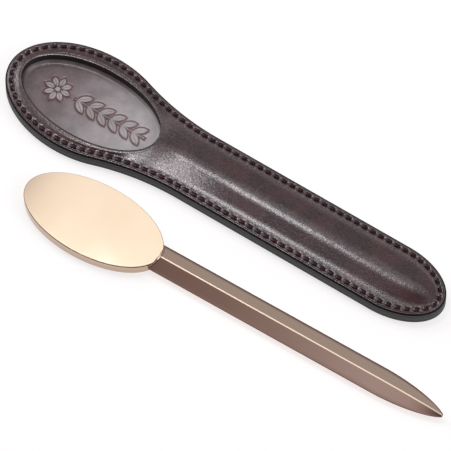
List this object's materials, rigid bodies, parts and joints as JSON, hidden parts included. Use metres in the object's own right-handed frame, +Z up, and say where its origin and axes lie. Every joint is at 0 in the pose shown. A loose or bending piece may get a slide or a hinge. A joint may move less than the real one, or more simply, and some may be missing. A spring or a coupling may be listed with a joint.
{
  "type": "letter opener with sheath",
  "caption": "Metal letter opener with a flat oval head and a ridged blade, beside its stitched leather sheath with an oval recess for the head.",
  "frame": {"origin": "on the table, under the centre of the box round the sheath and the opener as they lie side by side", "axes": "+Z up; +X along the sheath from its oval head end to its closed tip; +Y across, from the opener's side to the sheath's side"},
  "size_m": [0.2424, 0.0873, 0.0087],
  "materials": {
    "cover_leather": "glazed, very dark burgundy, smooth and glossy",
    "liner_leather": "glazed grey burgundy, embossed",
    "edge_leather": "black dressed and burnished edge",
    "back_leather": "glazed, very dark burgundy",
    "thread": "waxed thread",
    "head_metal": "polished, rose bronze tone",
    "blade_metal": "polished, rose bronze tone"
  },
  "bodies": {
    "sheath": {"back_panel": "back_leather", "liner": "liner_leather", "welt": "edge_leather", "top_cover": "cover_leather", "needle_thread": "thread", "bobbin_thread": "thread"},
    "opener": {"opener_head": "head_metal", "opener_blade": "blade_metal"}
  },
  "joints": [
    {"name": "opener_carry", "type": "slide", "parent": "sheath", "child": "opener", "axis": [-0.3527, 0.4999, 0.791], "range_m": [0, 0.091]}
  ]
}
